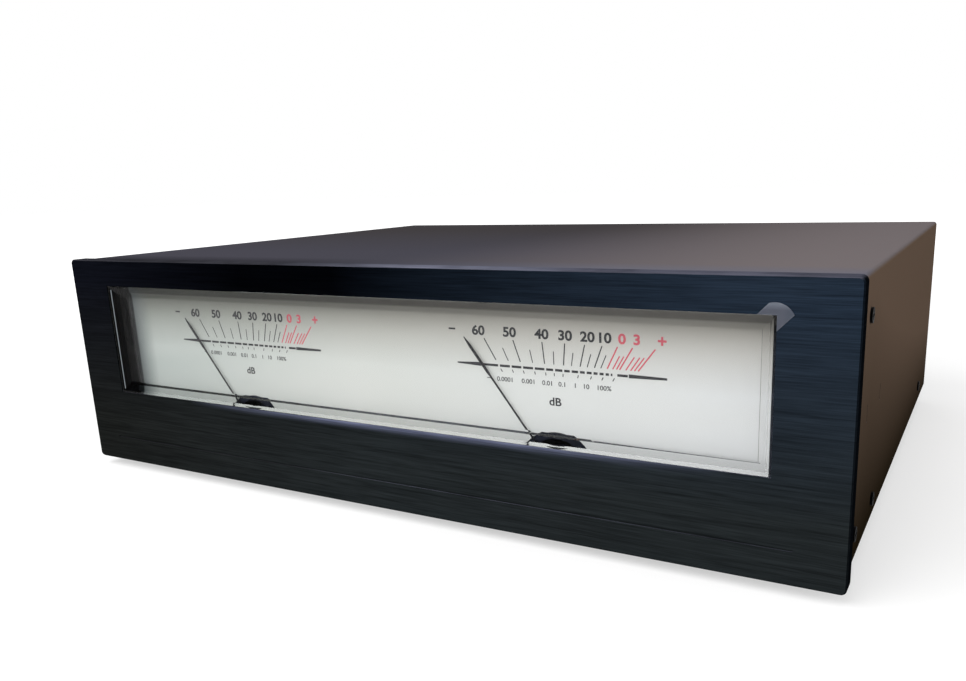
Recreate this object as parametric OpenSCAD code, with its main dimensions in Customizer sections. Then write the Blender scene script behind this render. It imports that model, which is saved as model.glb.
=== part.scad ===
// Twin-needle level meter in a full-width hi-fi case.
// Z is up and the panel faces -Y. The origin is on the table, under the middle of the case.
// Most modules draw in the case's own frame: x from the middle, y back from the panel's
// front face, z up from the panel's lower edge.

/* [Case] */
// Width of the front panel
panel_w = 430; // [400:1:480]
// Height of the front panel
panel_h = 118; // [112:1:140]
// Thickness of the front panel
panel_t = 8; // [7:0.5:12]
// Radius of the front panel's corners
panel_corner_r = 2.5; // [1:0.5:4]
// Chamfer round the front panel's face
panel_chamfer = 0.6; // [0.3:0.1:1]
// Distance from each end of the front panel in to the cover's side
cover_inset = 1; // [0.5:0.1:2]
// Depth of the cover behind the front panel
cover_depth = 322; // [260:1:400]
// Step from the panel's upper edge down to the cover
cover_step = 0.6; // [0.2:0.1:2]
// Thickness of the cover's and the base's sheet
sheet_t = 1.2; // [1:0.1:1.5]
// Outer radius of the cover's folds
fold_r = 2; // [1.6:0.1:3]
// Thickness of the rear panel
rear_t = 1.5; // [1:0.1:2]
// Height of the base's underside above the panel's lower edge
base_rise = 7; // [4:0.5:9]
// Height of the groove across the front panel
groove_h = 14.5; // [10:0.5:30]
// Width of the groove
groove_w = 0.8; // [0.5:0.1:2]
// Depth of the groove
groove_depth = 0.4; // [0.2:0.1:1]
// Distance of the groove's ends from the panel's ends
groove_end = 20; // [10:1:40]

/* [Feet] */
// Height of the feet below the base
foot_h = 12; // [10:0.5:20]
// Radius of a foot at its top
foot_r = 20; // [14:0.5:24]
// Spacing of the feet across the case
foot_span_x = 330; // [260:1:360]
// Depth of the front feet behind the panel's face
foot_front = 52; // [45:1:80]
// Thickness of the rubber pads
foot_pad_t = 3; // [2:0.5:4]

/* [Window] */
// Width of the window opening
window_w = 372; // [340:1:385]
// Height of the window opening
window_h = 61.4; // [50:0.1:64]
// Height of the opening above the panel's lower edge
window_bottom = 42.2; // [38:0.1:44]
// Width of the lens's sloping border
lens_border = 5.2; // [3:0.1:7]
// Depth of the lens's flat face behind the panel's face
lens_recess = 2.8; // [1.5:0.1:3.5]
// Thickness of the lens
lens_t = 3; // [2:0.1:4]
// Width of the lip that the panel's rebate holds
lens_lip = 5; // [3:0.5:6]
// Thickness of that lip
lens_lip_t = 3; // [2:0.1:4]
// Thickness of the walls that run back from the lens's edges
lens_wall_t = 2.8; // [2.5:0.1:5]

/* [Dial] */
// Depth of the dial's face behind the panel's face
dial_depth = 12; // [11:0.1:14]
// Thickness of the dial plate
dial_t = 1; // [0.8:0.1:1.5]
// Distance of each scale's middle from the case's middle
meter_x = 91; // [70:0.5:110]
// Height of the needle pivots above the panel's lower edge
pivot_h = 27.5; // [27.5:0.1:32]
// Length of a needle from its pivot to its tip
needle_len = 74; // [60:0.1:75]
// Angle of a resting needle to the left of upright
needle_rest = 37.5; // [30:0.5:38]
// Depth of the light box behind the dial
box_depth = 23; // [22.5:0.5:30]

/* [Movement] */
// Outer radius of a movement's round housing
housing_r = 18.2; // [17.8:0.1:18.4]
// Outer radius of the yoke ring
yoke_r = 14.6; // [14:0.1:15.2]
// Inner radius of the yoke ring
yoke_bore_r = 11; // [10.9:0.1:11.2]
// Radius of the core magnet
core_r = 8.2; // [7.6:0.1:8.3]
// Length of the core magnet, which ends level with the yoke ring at the rear
core_len = 12.8; // [10:0.1:13]
// Width of the moving coil along its path
coil_w = 3.2; // [2.4:0.1:3.6]
// Thickness of the coil's winding
winding_t = 1.3; // [0.9:0.1:1.35]
// Thickness of the coil's former
former_t = 0.35; // [0.2:0.05:0.4]
// Radius of the pivot pins
pivot_pin_r = 0.35; // [0.25:0.05:0.4]
// Radius of the hairsprings' outer turn
spring_r = 5.6; // [4.5:0.1:6]
// Number of turns of a hairspring
spring_turns = 4.5; // [3.5:1:5.5]
// Thickness of a hairspring's strip
spring_t = 0.25; // [0.2:0.05:0.3]

/* [Rear controls] */
// Radius of the signal sockets' shells
socket_r = 4.15; // [4.1:0.05:4.2]
// Length of a socket's shell outside the rear panel
socket_len = 10.5; // [9:0.5:12]
// Spacing of the signal sockets
socket_pitch = 20; // [18:1:26]
// Spacing of the two level knobs
knob_pitch = 30; // [24:1:40]
// Radius of the level knobs
knob_r = 8; // [7:0.5:10]
// Length of a level knob
knob_len = 10.5; // [9:0.5:14]
// Travel of the power rocker in degrees
rocker_travel = 14; // [10:1:14]

/* [Fits] */
// Clearance of a round part that doesn't turn in its hole
snug = 0.03; // [0.02:0.01:0.05]
// Clearance of a turning pin in its hole
running = 0.06; // [0.03:0.01:0.08]
// Clearance of a part that drops into place
easy = 0.2; // [0.1:0.05:0.3]

/* [Hidden] */

$fn = 48;
over = 1;                      // how far a cut runs past the surface that it opens

// Colours, as the photograph shows them
black = [0.09, 0.10, 0.12];
cover_grey = [0.30, 0.28, 0.30];
dial_white = [0.88, 0.88, 0.85];
bright = [0.75, 0.76, 0.78];
brass = [0.78, 0.62, 0.32];
copper = [0.72, 0.40, 0.22];
green = [0.10, 0.35, 0.20];

// Case
case_d = panel_t + cover_depth;          // panel's face to the case's rear
film_t = 0.15;
knob_gap = 3.2;                          // rear panel to knob
rear_reach = knob_gap + knob_len;
overall_d = film_t + case_d + rear_reach;
face_y = film_t - overall_d / 2;
panel_lift = foot_h - base_rise;
cover_top = panel_h - cover_step;
cover_x = panel_w / 2 - cover_inset;
inside_x = cover_x - sheet_t;            // cover's inner face
base_top = base_rise + sheet_t;
base_x = inside_x - easy;
rear_in = case_d - rear_t;               // rear panel's inner face
lip_in = rear_in - sheet_t;              // front of the lips that hold the rear panel
lip_w = 12;                              // height of those lips
flange_h = 24;                           // top of the base's side flanges

// Window and dial
window_mid = window_bottom + window_h / 2;
window_top = window_bottom + window_h;
rebate = panel_t - lens_lip_t;           // depth at which the rebate starts
frame_in_x = window_w / 2 + 0.3;         // inner wall of the window frame, hidden by the lens
frame_in_bottom = window_bottom - 3.7;
frame_in_top = window_top - 0.4;
frame_x = window_w / 2 + 14;
frame_bottom = window_bottom - 11;
frame_top = window_top + 10.8;
dial_x = frame_in_x + 3;
dial_bottom = frame_in_bottom - 1.6;
dial_top = frame_in_top + 5;
dial_back = dial_depth + dial_t;
box_back = dial_back + box_depth;        // front face of the tray's back plate
tray_t = 1.5;
box_x = window_w / 2 - 1;
box_bottom = window_bottom - 1.2;
box_top = frame_in_top + 1.2;
plate_bottom = base_top + 1.8;
frame_screw_x = frame_x - 3.5;
inner_screw_x = meter_x - housing_r - 12.8;

// Movement, as depths behind the panel's face
bridge_d = dial_depth - 1.3;
bridge_t = 1;
bridge_back = bridge_d + bridge_t;
head_t = 0.8;
needle_t = 0.4;
needle_d = bridge_d - 0.3;               // middle of the needle's thickness
spring_d = bridge_back + 0.4;
spring_w = 0.35;
hub_d = spring_d + 0.8;
hub_t = 0.8;
plate_d = hub_d + hub_t;
pivot_plate_t = 0.4;
coil_d = plate_d + pivot_plate_t;
former_d = coil_d + winding_t;
core_d = former_d + former_t + 0.75;
yoke_d = core_d - 0.6;
core_back = core_d + core_len;
former_back = core_back + 0.75 + former_t;
coil_back = former_back + winding_t;
rear_plate_d = coil_back + pivot_plate_t;
housing_back = box_back;
housing_wall = 2;
housing_in = housing_back - housing_wall;
rear_spring_d = housing_in - 0.9 - spring_w;
former_in_x = core_r + 0.35;
former_x = former_in_x + former_t;
coil_x = former_x + winding_t;
bore_r = yoke_r + snug;
collet_r = 1.1;
collet_gap = 0.25;
jewel_r = 1.25;
head_r = 2;
pin_reach = 0.5;
post_x = (yoke_bore_r + yoke_r) / 2 - 0.4;
post_r = 1.4;
bridge_screw_r = 0.8;
anchor_r = 0.4;
anchor_x = spring_r + anchor_r + 0.1;
rim_r = (bore_r + housing_r) / 2;
stop_r = 0.7;
blade_w = 1.2;                           // width of the needle's blade
shaft_w = 0.7;                           // width of the needle below the blade
stop_angle = needle_rest + asin((shaft_w / 2 + stop_r + 0.15) / rim_r);
ear_x = housing_r + 3.8;                 // movement screws, either side of the pivot
ear_t = 3;
ear_screw_r = 1.25;
notch_r = housing_r + 0.4;

// Electronics
board_t = 1.6;
board_w = 220;
board_d = 85;
board_rear = rear_in - 18;
board_front = board_rear - board_d;
standoff_h = 8;
board_bottom = base_top + standoff_h;
board_top = board_bottom + board_t;
ribbon_w = 6;
ribbon_t = 0.9;

// Rear controls
socket_x = 140;
socket_h = 52;
knob_x = 70;
knob_h = 60;
jack_x = -130;
jack_h = 42;
rocker_x = -172;
rocker_h = 62;
shaft_r = 3;
bush_r = 3.5;
nut_t = 2.2;

// Frames and outlines

// Puts the children in the case's own frame
module in_case() translate([0, face_y, panel_lift]) children();

// Extrudes an outline drawn as seen from the front, from depth d0 to depth d1
module slab(d0, d1) translate([0, d1, 0]) rotate([90, 0, 0]) linear_extrude(d1 - d0) children();

// Extrudes an outline drawn as seen from the right side, depth across and height up
module side_slab(x0, x1) translate([x0, 0, 0]) rotate([90, 0, 90]) linear_extrude(x1 - x0) children();

// Outline from one corner to the other
module box2(x0, z0, x1, z1) translate([x0, z0]) square([x1 - x0, z1 - z0]);

// Outline of a rectangle with round corners, about its middle
module rrect(w, h, r) {
    square([w - 2 * r, h], center = true);
    square([w, h - 2 * r], center = true);
    for (x = [-1, 1], y = [-1, 1])
        translate([x * (w / 2 - r), y * (h / 2 - r)]) circle(r);
}

// Puts the children at the pivot of the left (-1) or right (1) meter
module at_pivot(side) in_case() translate([side * meter_x, 0, pivot_h]) children();

// The same, turned with the resting needle
module swung(side) at_pivot(side) rotate([0, -needle_rest, 0]) children();

// Screw along Y, head at depth d0, shank to depth d1, with a slot or a cross in the head
module screw_y(d0, d1, head_t, head_r, shank_r, cross = true, back = 1) {
    face = back > 0 ? d0 : d0 + head_t;
    slot_w = head_r * 0.3;
    slot_d = head_t * 0.45;
    difference() {
        slab(d0, d0 + head_t) circle(head_r);
        for (a = cross ? [0, 90] : [0])
            slab(face - (back > 0 ? over : slot_d), face + (back > 0 ? slot_d : over))
                rotate(a) square([head_r * (cross ? 1.2 : 3), slot_w], center = true);
    }
    slab(back > 0 ? d0 + head_t : d1, back > 0 ? d1 : d0) circle(shank_r);
}

// Places on the case, each list as [x, z] or as [depth, z]
frame_screw_at = concat(
    [for (x = [-1, 1], z = [frame_bottom + 6, window_mid, frame_top - 6]) [x * frame_screw_x, z]],
    [for (x = [-inner_screw_x, inner_screw_x], z = [frame_bottom + 3, frame_top - 3]) [x, z]]
);
bracket_screw_h = [38, 72, 104];
bracket_x = frame_x + 6;
bracket_d = 36;                          // depth of the brackets' rear edge
bracket_t = 3;
lip_screw_x = [for (share = [-0.7, -0.28, 0.28, 0.7]) share * base_x];
lip_screw_h = base_rise + 4.5;
side_screw_at = [[bracket_d - 10, 101], [15, 19], [64, 16], [case_d - 56, 18]];
side_slot_at = [for (d = [33, 71]) [d, 61.7]];
side_slot = [1.2, 7];
side_notch_h = 100;
side_notch = [5, 8];
rear_screw_at = [
    for (share = [-0.9, -0.28, 0.28, 0.9], z = [base_top + 6, cover_top - sheet_t - 6]) [share * base_x, z]
];
foot_at = [for (x = [-1, 1], y = [foot_front, case_d - foot_front]) [x * foot_span_x / 2, y]];

// Screw sizes
m3_r = 1.5;
m3_head_r = 2.75;
m3_head_t = 1.9;
m4_r = 2;
m4_head_r = 3.6;
m4_head_t = 2.4;
side_head_r = 3;
side_head_t = 1;
board_screw_r = 1.4;

// Front panel

tapped_d = 3.4;                          // depth behind the face at which tapped holes end
screw_short = 0.4;                       // space left beyond a screw in such a hole

// Cutter that runs along the face's straight edges and round its corners
module face_chamfer() {
    c = panel_chamfer;
    r = panel_corner_r;
    for (z = [0, 1])
        translate([0, 0, z * panel_h]) mirror([0, 0, 1 - z])
            side_slab(r - panel_w / 2, panel_w / 2 - r)
                polygon([[-over, -c - over], [c + over, over], [-over, over]]);
    for (x = [0, 1])
        mirror([x, 0, 0]) translate([panel_w / 2, 0, r])
            linear_extrude(panel_h - 2 * r)
                polygon([[-c - over, -over], [over, c + over], [over, -over]]);
    for (corner = [[1, 1, -90], [-1, 1, 180], [-1, 0, 90], [1, 0, 0]])
        translate([corner[0] * (panel_w / 2 - r), 0, r + corner[1] * (panel_h - 2 * r)])
            rotate([-90, 0, 0]) rotate(corner[2]) rotate_extrude(angle = 90)
                polygon([[r - c, 0], [r - c, -over], [r + over, -over], [r + over, c + over], [r, c]]);
}

module front_panel() color(black) in_case() difference() {
    slab(0, panel_t) translate([0, panel_h / 2]) rrect(panel_w, panel_h, panel_corner_r);
    slab(-over, panel_t + over) translate([0, window_mid]) square([window_w, window_h], center = true);
    slab(rebate, panel_t + over) translate([0, window_mid])
        square([window_w + 2 * lens_lip, window_h + 2 * lens_lip], center = true);
    translate([0, 0, groove_h])
        cube([panel_w - 2 * groove_end, 2 * groove_depth, groove_w], center = true);
    face_chamfer();
    for (p = frame_screw_at) slab(tapped_d, panel_t + over) translate(p) circle(m3_r + snug);
    for (x = [-1, 1], z = bracket_screw_h) slab(tapped_d, panel_t + over)
        translate([x * bracket_x, z]) circle(m4_r + snug);
    for (x = lip_screw_x) slab(tapped_d, panel_t + over) translate([x, lip_screw_h]) circle(m3_r + snug);
}

// Window, frame and dial

// Half-size of the lens's sloping recess at depth d, for a half-size of the opening
function slope_at(half, d) = half - 0.8 - lens_border * (d - 0.3) / (lens_recess - 0.3);

lens_gap = 0.1;                          // between those walls and the dial

module window_lens() color([0.85, 0.90, 0.92, 0.35]) in_case() {
    w = window_w / 2 - easy;
    h = window_h / 2 - easy;
    rim = 0.3;
    difference() {
        union() {
            slab(rebate, panel_t) translate([0, window_mid])
                square([2 * (w + lens_lip), 2 * (h + lens_lip)], center = true);
            slab(rim, rebate) translate([0, window_mid]) square([2 * w, 2 * h], center = true);
        }
        intersection() {
            linear_extrude(2 * panel_h) polygon([
                [-slope_at(w, -over), -over], [slope_at(w, -over), -over],
                [slope_at(w, lens_recess), lens_recess], [-slope_at(w, lens_recess), lens_recess]
            ]);
            side_slab(-panel_w, panel_w) polygon([
                [-over, window_mid - slope_at(h, -over)], [-over, window_mid + slope_at(h, -over)],
                [lens_recess, window_mid + slope_at(h, lens_recess)],
                [lens_recess, window_mid - slope_at(h, lens_recess)]
            ]);
        }
        slab(lens_recess + lens_t, panel_t + over) translate([0, window_mid])
            square([2 * (w - lens_wall_t), 2 * (h - lens_t)], center = true);
    }
    // side walls that reach back to the dial, so that the panel's edge doesn't show beside it
    for (side = [0, 1]) mirror([side, 0, 0])
        slab(panel_t, dial_depth - lens_gap) box2(w - lens_wall_t, window_mid - h, w, frame_in_top - easy);
}

// Pull tab of a protective film, stuck on the panel across the window's corner
tab_w = 9.3;
tab_off = 0.5;                           // from the corner's diagonal to the middle of the tab
tab_end_r = 7.6;
tab_end = [-0.8, -3];                    // middle of the rounded end, from the window's corner

module film_tab() color([0.55, 0.53, 0.58, 0.6]) in_case()
    slab(-film_t, 0) translate([window_w / 2, window_top]) difference() {
        intersection() {
            rotate(45) translate([0, tab_off]) square([panel_h, tab_w], center = true);
            translate(tab_end) circle(tab_end_r);
        }
        box2(-panel_h, -panel_h, 0, 0);
    }

// The frame stays this far from the movements
frame_gap = 1.3;

module window_frame() color(black) in_case() difference() {
    slab(panel_t, dial_depth) difference() {
        box2(-frame_x, frame_bottom, frame_x, frame_top);
        box2(-frame_in_x, frame_in_bottom, frame_in_x, frame_in_top);
    }
    for (side = [-1, 1]) slab(bridge_d - frame_gap, dial_depth + over)
        translate([side * meter_x, pivot_h]) circle(housing_r + frame_gap);
    for (p = frame_screw_at) slab(panel_t - over, dial_depth + over)
        translate(p) circle(m3_r + easy);
}

module dial_plate() color(dial_white) in_case() slab(dial_depth, dial_back) difference() {
    box2(-dial_x, dial_bottom, dial_x, dial_top);
    for (side = [-1, 1]) translate([side * meter_x, pivot_h]) circle(notch_r);
}

// Light box with a front flange and a back plate that reaches down behind the movements
rear_window_r = 7;                       // hole behind each movement's rear jewel screw

module meter_tray() color(dial_white) in_case() difference() {
    union() {
        slab(dial_back, dial_back + tray_t) difference() {
            box2(-frame_x, frame_bottom, frame_x, frame_top);
            box2(-box_x, box_bottom, box_x, box_top);
        }
        slab(dial_back, box_back) difference() {
            box2(-box_x - tray_t, box_bottom - tray_t, box_x + tray_t, box_top + tray_t);
            box2(-box_x, box_bottom, box_x, box_top);
        }
        slab(box_back, box_back + tray_t)
            box2(-box_x - tray_t, plate_bottom, box_x + tray_t, box_top + tray_t);
    }
    for (side = [-1, 1]) {
        slab(dial_back - over, box_back) translate([side * meter_x, pivot_h]) circle(notch_r);
        slab(box_back - over, box_back + tray_t + over) translate([side * meter_x, pivot_h]) {
            circle(rear_window_r);
            translate([0, ribbon_h - pivot_h]) square([ribbon_w + 2, 3], center = true);
            for (x = [-1, 1]) translate([x * ear_x, 0]) circle(ear_screw_r + easy);
        }
    }
    for (p = frame_screw_at) slab(dial_back - over, dial_back + tray_t + over)
        translate(p) circle(m3_r + easy);
}

module frame_screws() color(bright) in_case() for (p = frame_screw_at)
    translate([p[0], 0, p[1]])
        screw_y(dial_back + tray_t, tapped_d + screw_short, m3_head_t, m3_head_r, m3_r, back = -1);

// Lamp strip on the back of the light box
strip_x = box_x - 17;
strip_h = 10;
strip_t = 1.6;
led_count = 13;
led_t = 1.4;

module backlight_board() color(dial_white) in_case()
    slab(box_back - strip_t, box_back) translate([0, window_mid]) rrect(2 * strip_x, strip_h, 1);

module backlight_leds() color([0.95, 0.93, 0.70]) in_case() for (i = [0:led_count - 1])
    slab(box_back - strip_t - led_t, box_back - strip_t)
        translate([(i - (led_count - 1) / 2) * 2 * strip_x / led_count, window_mid]) difference() {
            square(5, center = true);
            translate([2.5, 2.5]) rotate(45) square(1.2, center = true);
        }

// Case

module panel_brackets() color(bright) in_case() for (side = [0, 1]) mirror([side, 0, 0]) difference() {
    translate([0, 0, flange_h + 2]) linear_extrude(cover_top - sheet_t - 4 - flange_h - 2)
        polygon([
            [frame_x + 1, panel_t], [base_x, panel_t], [base_x, bracket_d], [base_x - 2.4, bracket_d],
            [base_x - 2.4, panel_t + bracket_t], [frame_x + 1, panel_t + bracket_t]
        ]);
    for (z = bracket_screw_h) slab(panel_t - over, panel_t + bracket_t + over)
        translate([bracket_x, z]) circle(m4_r + easy);
    side_slab(base_x - bracket_t, base_x + over) translate(side_screw_at[0]) circle(m3_r + snug);
}

module panel_screws() color(bright) in_case() {
    for (x = [-1, 1], z = bracket_screw_h)
        translate([x * bracket_x, 0, z])
            screw_y(panel_t + bracket_t, tapped_d + screw_short, m4_head_t, m4_head_r, m4_r, back = -1);
    for (x = lip_screw_x)
        translate([x, 0, lip_screw_h])
            screw_y(panel_t + sheet_t, tapped_d + screw_short, m3_head_t, m3_head_r, m3_r, back = -1);
}

// Outline of the folded cover, inset by a distance
module cover_outline(inset) {
    r = fold_r - inset;
    top = cover_top - inset;
    x = cover_x - inset;
    box2(-x, base_rise - (inset > 0 ? over : 0), x, top - r);
    box2(-x + r, base_rise, x - r, top);
    for (side = [-1, 1]) translate([side * (x - r), top - r]) circle(r);
}

module top_cover() color(cover_grey) in_case() difference() {
    union() {
        slab(panel_t, case_d) difference() {
            cover_outline(0);
            cover_outline(sheet_t);
        }
        slab(lip_in, rear_in)
            box2(-base_x + 14, cover_top - sheet_t - lip_w, base_x - 14, cover_top - sheet_t / 2);
    }
    for (p = side_screw_at) side_slab(-panel_w, panel_w) translate(p) circle(m3_r + easy);
    for (p = side_slot_at) side_slab(-panel_w, panel_w) translate(p) square(side_slot, center = true);
    side_slab(-panel_w, panel_w) translate([panel_t, side_notch_h]) square(side_notch, center = true);
    for (p = rear_screw_at) if (p[1] > panel_h / 2) slab(lip_in - over, rear_in + over)
        translate(p) circle(m3_r + snug);
}

module base_tray() color(cover_grey) in_case() difference() {
    union() {
        translate([-base_x, panel_t, base_rise]) cube([2 * base_x, rear_in - panel_t, sheet_t]);
        slab(panel_t, panel_t + sheet_t) box2(-base_x + 8, base_rise, base_x - 8, base_rise + 9);
        slab(lip_in, rear_in) box2(-base_x + 2, base_rise, base_x - 2, base_top + lip_w);
        for (side = [0, 1]) mirror([side, 0, 0]) side_slab(base_x - sheet_t, base_x) polygon([
            [panel_t + 2, base_rise], [panel_t + 2, flange_h - 2], [panel_t + 4, flange_h],
            [lip_in - 6, flange_h], [lip_in - 4, flange_h - 2], [lip_in - 4, base_rise]
        ]);
    }
    for (x = lip_screw_x) slab(panel_t - over, panel_t + 2 * sheet_t)
        translate([x, lip_screw_h]) circle(m3_r + easy);
    for (p = foot_at) translate([p[0], p[1], base_rise - over])
        cylinder(r = m4_r + snug, h = sheet_t + 2 * over);
    for (p = side_screw_at) if (p[1] < flange_h)
        side_slab(-base_x - over, base_x + over) translate(p) circle(m3_r + snug);
    for (p = rear_screw_at) if (p[1] < panel_h / 2) slab(lip_in - over, rear_in + over)
        translate(p) circle(m3_r + snug);
    for (p = board_hole_at) translate([p[0], p[1], base_rise - over])
        cylinder(r = board_screw_r + snug, h = sheet_t + 2 * over);
}

// Screws in both sides, with a cross in each low head
module side_screws() color(black) in_case() for (side = [0, 1], p = side_screw_at)
    mirror([side, 0, 0]) translate([0, p[0], p[1]]) rotate([0, 0, 90])
        translate([0, -cover_x - side_head_t, 0])
            screw_y(0, side_head_t + cover_x - base_x + 4, side_head_t, side_head_r, m3_r);

module rear_screws() color(black) in_case() for (p = rear_screw_at)
    translate([p[0], 0, p[1]]) screw_y(case_d, lip_in - 3, m3_head_t, m3_head_r, m3_r, back = -1);

module rear_panel() color(black) in_case() slab(rear_in, case_d) difference() {
    translate([0, (base_top + cover_top - sheet_t) / 2])
        rrect(2 * base_x, cover_top - sheet_t - base_top - 2 * easy, fold_r);
    for (p = rear_screw_at) translate(p) circle(m3_r + easy);
    for (p = socket_at) translate(p) circle(socket_thread_r + easy / 2);
    for (x = [0, 1]) translate([knob_x + x * knob_pitch, knob_h]) circle(bush_r + easy / 2);
    translate([jack_x, jack_h]) circle(jack_r + easy / 2);
    translate([rocker_x, rocker_h])
        square([rocker_out_w + 2 * snug, rocker_out_h + 2 * snug], center = true);
}

// Feet

table_h = -panel_lift;                   // height of the table in the case's frame
foot_bore_r = 9;
foot_web_t = 3;                          // the web that the foot's screw goes through

module feet() color(black) in_case() for (p = foot_at)
    translate([p[0], p[1], table_h]) rotate_extrude() polygon([
        [m4_r + easy, foot_h], [foot_r, foot_h], [foot_r, foot_h - 1.5], [foot_r - 1.2, foot_h - 3],
        [foot_r - 2.2, foot_pad_t - 1], [foot_r - 3, foot_pad_t - 1], [foot_r - 3, foot_pad_t],
        [foot_bore_r + 2, foot_pad_t], [foot_bore_r, foot_pad_t], [foot_bore_r, foot_h - foot_web_t],
        [m4_r + easy, foot_h - foot_web_t]
    ]);

module foot_pads() color([0.05, 0.05, 0.05]) in_case() for (p = foot_at)
    translate([p[0], p[1], table_h]) rotate_extrude() polygon([
        [foot_bore_r + 2, 0.4], [foot_bore_r + 2.4, 0], [foot_r - 3.6, 0], [foot_r - 3.2, 0.4],
        [foot_r - 3.2, foot_pad_t], [foot_bore_r + 2, foot_pad_t]
    ]);

module foot_screws() color(bright) in_case() for (p = foot_at)
    translate([p[0], p[1], table_h + foot_h - foot_web_t]) rotate([-90, 0, 0])
        screw_y(0, -foot_web_t - sheet_t - 3, m4_head_t, m4_head_r, m4_r, back = -1);

// Movements

// Cup that holds the yoke ring, with two ribs that reach in to the core, and two needle stops
module housing(side) color(black) at_pivot(side) {
    difference() {
        union() {
            slab(dial_depth, housing_back) circle(housing_r);
            slab(housing_back - ear_t, housing_back) rrect(2 * ear_x + 8, 8, 3.9);
        }
        slab(dial_depth - over, housing_in) circle(bore_r);
        slab(housing_in - over, housing_back + over) circle(jewel_r + snug);
        for (x = [-1, 1]) slab(housing_back - ear_t - over, housing_back + over)
            translate([x * ear_x, 0]) circle(ear_screw_r + snug);
    }
    for (a = [90, 270]) rib(a);
    for (a = [-stop_angle, stop_angle])
        rotate([0, a, 0]) translate([0, 0, rim_r]) slab(needle_d - 0.5, dial_depth) circle(stop_r);
    slab(rear_spring_d, housing_in) translate([anchor_x, 0]) circle(anchor_r);
}

// Rib in the gap between core and yoke, outside the coil's sweep
module rib(a) slab(core_d + 0.6, housing_in) intersection() {
    difference() {
        circle(yoke_bore_r - snug);
        circle(core_r + snug);
    }
    rotate(a) translate([0, -2]) square([2 * yoke_bore_r, 4]);
}

module yoke_ring(side) color(bright) at_pivot(side) difference() {
    slab(yoke_d, core_back) difference() {
        circle(yoke_r);
        circle(yoke_bore_r);
    }
    for (x = [-1, 1]) slab(yoke_d - over, yoke_d + 4)
        translate([x * post_x, 0]) circle(bridge_screw_r + snug);
}

module core_magnet(side) color([0.35, 0.35, 0.38]) at_pivot(side) slab(core_d, core_back) difference() {
    circle(core_r);
    circle(1.5);
}

module front_bridge(side) color(brass) at_pivot(side) difference() {
    union() {
        slab(bridge_d, bridge_back) rrect(2 * post_x + 4, 4.6, 2.2);
        for (x = [-1, 1]) slab(bridge_back, yoke_d) translate([x * post_x, 0]) circle(post_r);
        slab(bridge_back, spring_d + spring_w) translate([anchor_x, 0]) circle(anchor_r);
    }
    slab(bridge_d - over, bridge_back + over) circle(jewel_r + snug);
    for (x = [-1, 1]) slab(bridge_d - over, yoke_d + over)
        translate([x * post_x, 0]) circle(bridge_screw_r + snug);
}

// Points of a flat spiral, offset by half the strip's thickness to one side
spring_in = collet_r + 0.1 + spring_t / 2;
function spiral(off) = [
    for (i = [0:20 * spring_turns])
        let (a = i * 18, r = spring_in + (spring_r - spring_in) * i / (20 * spring_turns) + off)
            [r * cos(a), r * sin(a)]
];
function backwards(list) = [for (i = [len(list) - 1:-1:0]) list[i]];

module hairspring(d) slab(d, d + spring_w)
    rotate(180) polygon(concat(spiral(spring_t / 2), backwards(spiral(-spring_t / 2))));

module hairsprings(side) color(brass) at_pivot(side) {
    hairspring(spring_d);
    hairspring(rear_spring_d);
}

// Plan of a rectangle that stands round the core, from depth d0 to depth d1
module loop_plan(x, d0, d1, r) translate([0, (d0 + d1) / 2]) rrect(2 * x, d1 - d0, r);

module coil_former(side) color(bright) swung(side)
    translate([0, 0, -coil_w / 2]) linear_extrude(coil_w) difference() {
        loop_plan(former_x, former_d, former_back, 0.6);
        loop_plan(former_in_x, former_d + former_t, former_back - former_t, 0.3);
    }

module coil_winding(side) color(copper) swung(side)
    translate([0, 0, -coil_w / 2]) linear_extrude(coil_w) difference() {
        loop_plan(coil_x, coil_d, coil_back, 1.2);
        loop_plan(former_x, former_d, former_back, 0.6);
    }

// Pivot with its mounting plate on the coil, at the front (1) or the rear (-1)
module coil_pivots(side) color(bright) swung(side) {
    slab(plate_d, coil_d) rrect(6, coil_w, 0.8);
    slab(front_jewel_end + collet_gap, plate_d) circle(collet_r);
    slab(front_jewel_end - pin_reach / 2, front_jewel_end + collet_gap) circle(pivot_pin_r);
    slab(coil_back, rear_plate_d) rrect(6, coil_w, 0.8);
    slab(rear_plate_d, rear_jewel_end - collet_gap) circle(collet_r);
    slab(rear_jewel_end - collet_gap, rear_jewel_end + pin_reach / 2) circle(pivot_pin_r);
}

front_jewel_end = bridge_back + 0.25;
rear_jewel_end = housing_in - 0.55;

module jewel_screws() color(brass) for (side = [-1, 1]) at_pivot(side) {
    difference() {
        screw_y(bridge_d - head_t, front_jewel_end, head_t, head_r, jewel_r, cross = false);
        slab(front_jewel_end - pin_reach, front_jewel_end + over) circle(pivot_pin_r + running);
    }
    difference() {
        screw_y(housing_back, rear_jewel_end, head_t, head_r, jewel_r, cross = false, back = -1);
        slab(rear_jewel_end - over, rear_jewel_end + pin_reach) circle(pivot_pin_r + running);
    }
}

module bridge_screws() color(bright) for (side = [-1, 1], x = [-1, 1]) at_pivot(side)
    translate([x * post_x, 0, 0])
        screw_y(bridge_d - head_t, yoke_d + 3, head_t, 1.6, bridge_screw_r, cross = false);

module movement_screws() color(bright) for (side = [-1, 1], x = [-1, 1]) at_pivot(side)
    translate([x * ear_x, 0, 0])
        screw_y(box_back + tray_t, housing_back - ear_t + 0.5, 1.5, 2.4, ear_screw_r, back = -1);

// Needle with its hub, the crank that brings it in front of the dial, and three balance arms
crank_r = 9;
crank_out = 12.5;
arm_w = 0.8;
tail_len = 9;
side_arm = 7.4;
blade_len = 21.4;
tip_len = 4.8;

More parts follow.
